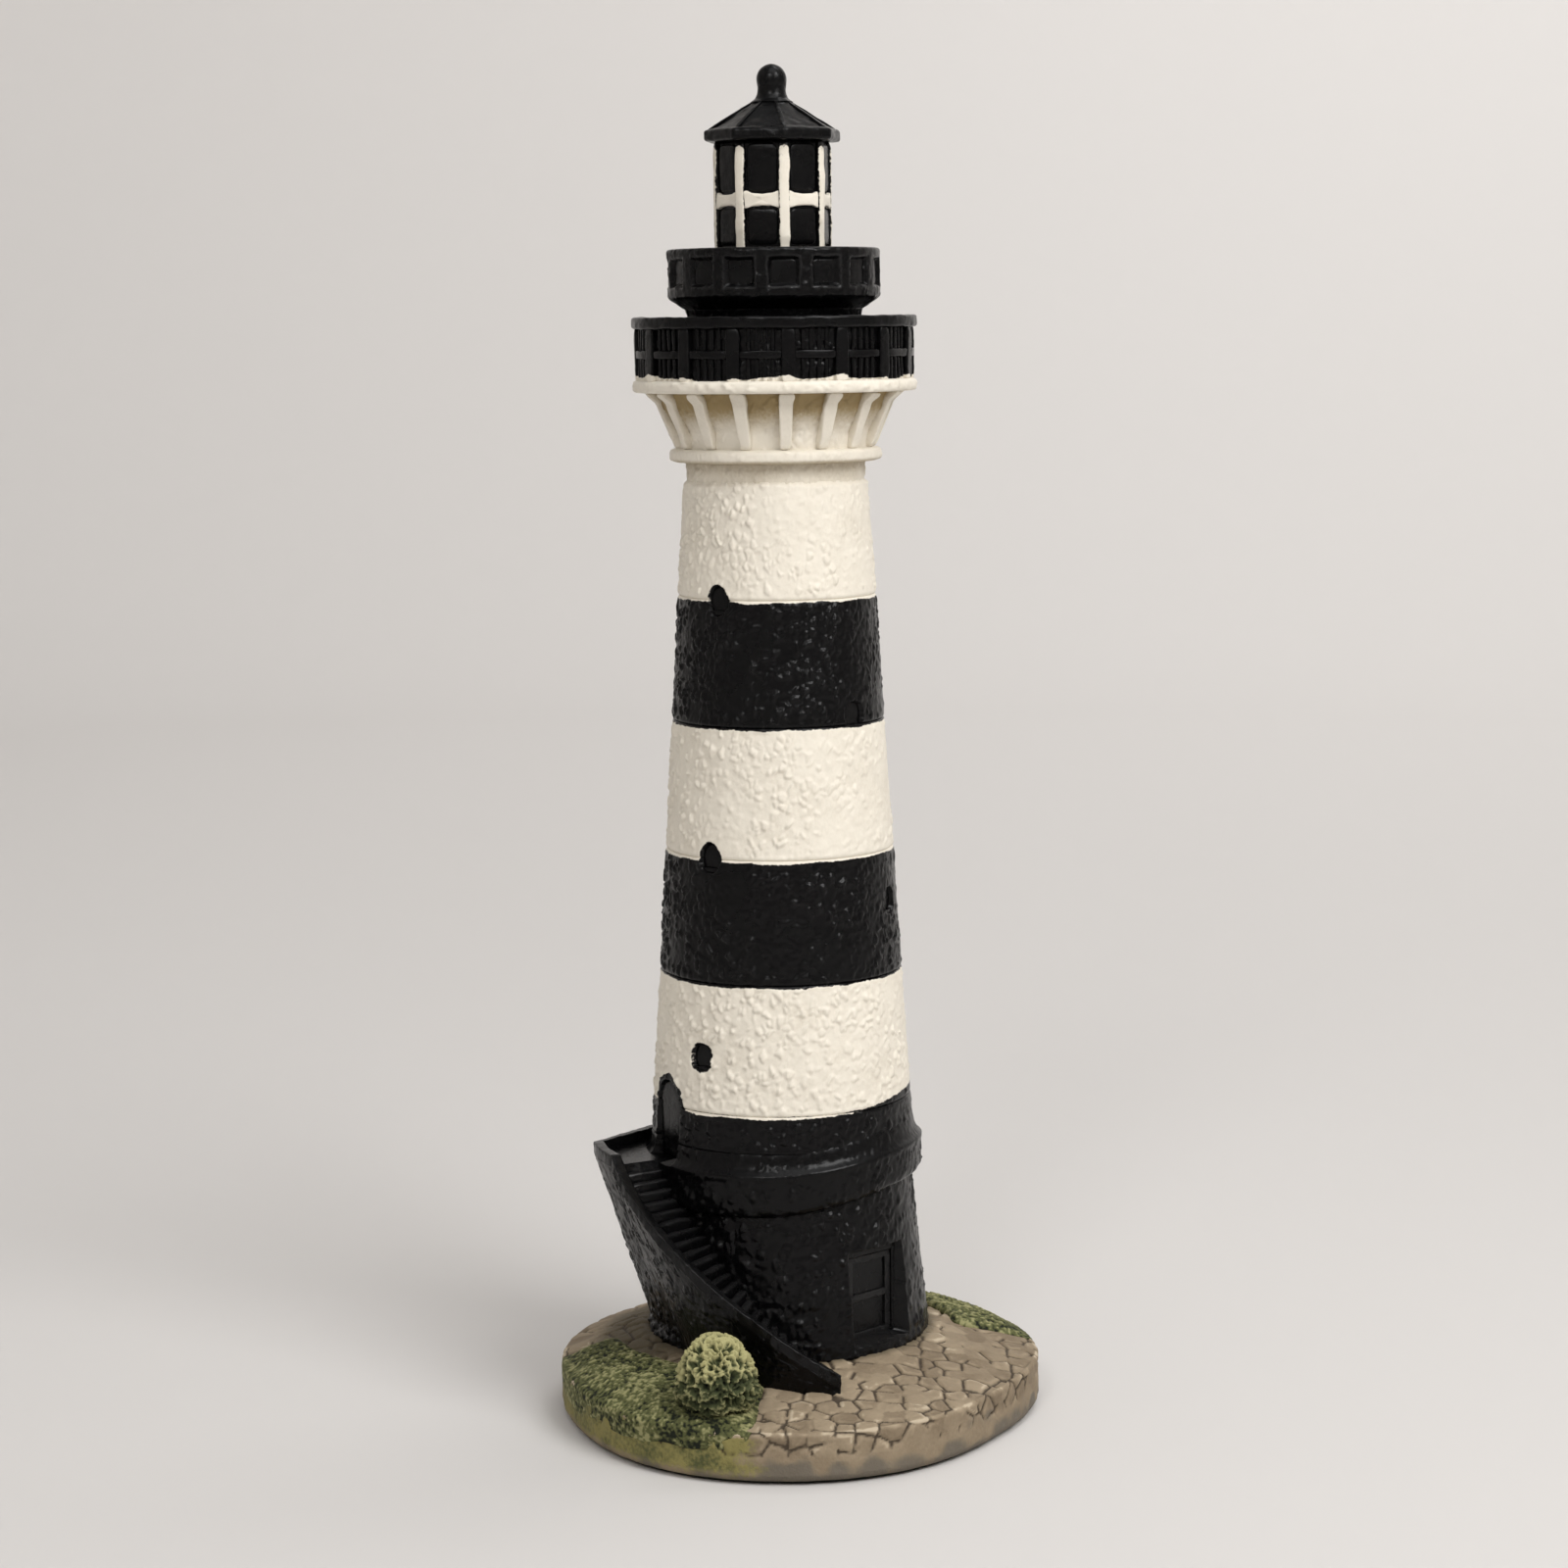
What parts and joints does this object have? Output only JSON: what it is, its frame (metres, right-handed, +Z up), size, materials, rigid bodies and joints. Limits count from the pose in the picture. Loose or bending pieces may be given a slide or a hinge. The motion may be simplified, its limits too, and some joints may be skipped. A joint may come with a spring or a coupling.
{
  "type": "lighthouse figurine",
  "caption": "Free-standing lighthouse ornament: banded tapering tower with gallery, lantern and winding stair, on a paved and planted plinth.",
  "frame": {"origin": "on the tower's axis, on the face of the felt that the ornament stands on", "axes": "+Z up along the tower; -Y towards the side with the foot of the stair; +X to that side's right"},
  "size_m": [0.0826, 0.0878, 0.2278],
  "materials": {
    "felt": "matt felt",
    "paving": "matt paint with a dark wash in the joints",
    "turf": "matt stippled paint",
    "foliage": "matt sponge with a dark wash",
    "black_paint": "satin paint",
    "white_paint": "satin paint"
  },
  "bodies": {
    "root": {"base_plinth": "paving", "belt_course": "black_paint", "bush": "foliage", "corbel_bell": "white_paint", "corbel_brackets": "white_paint", "corbel_ring": "white_paint", "cornice_slab": "white_paint", "door_frame": "black_paint", "felt_pad": "felt", "finial_ball": "black_paint", "finial_neck": "black_paint", "front_lawn": "turf", "gallery_balusters_high": "black_paint", "gallery_balusters_low": "black_paint", "gallery_cap_rail": "black_paint", "gallery_drum": "black_paint", "gallery_mid_rail": "black_paint", "gallery_panels": "black_paint", "gallery_posts": "black_paint", "landing_parapet": "black_paint", "landing_slab": "black_paint", "lantern_core": "black_paint", "lantern_gallery": "black_paint", "lantern_mullions": "white_paint", "lantern_panes_high": "black_paint", "lantern_panes_low": "black_paint", "lantern_transom": "white_paint", "lower_door": "black_paint", "paved_mound": "paving", "rear_lawn": "turf", "roof": "black_paint", "roof_eave": "black_paint", "roof_ribs": "black_paint", "shaft_drum_1": "black_paint", "shaft_drum_2": "white_paint", "shaft_drum_3": "black_paint", "shaft_drum_4": "white_paint", "shaft_drum_5": "black_paint", "shaft_drum_6": "white_paint", "shaft_neck": "white_paint", "stair_flight": "black_paint", "stair_parapet": "black_paint", "tower_foot": "black_paint", "upper_door": "black_paint", "watch_room": "black_paint", "window_front_high": "black_paint", "window_front_low": "black_paint", "window_front_mid": "black_paint", "window_side_high": "black_paint", "window_side_low": "black_paint"}
  },
  "joints": []
}
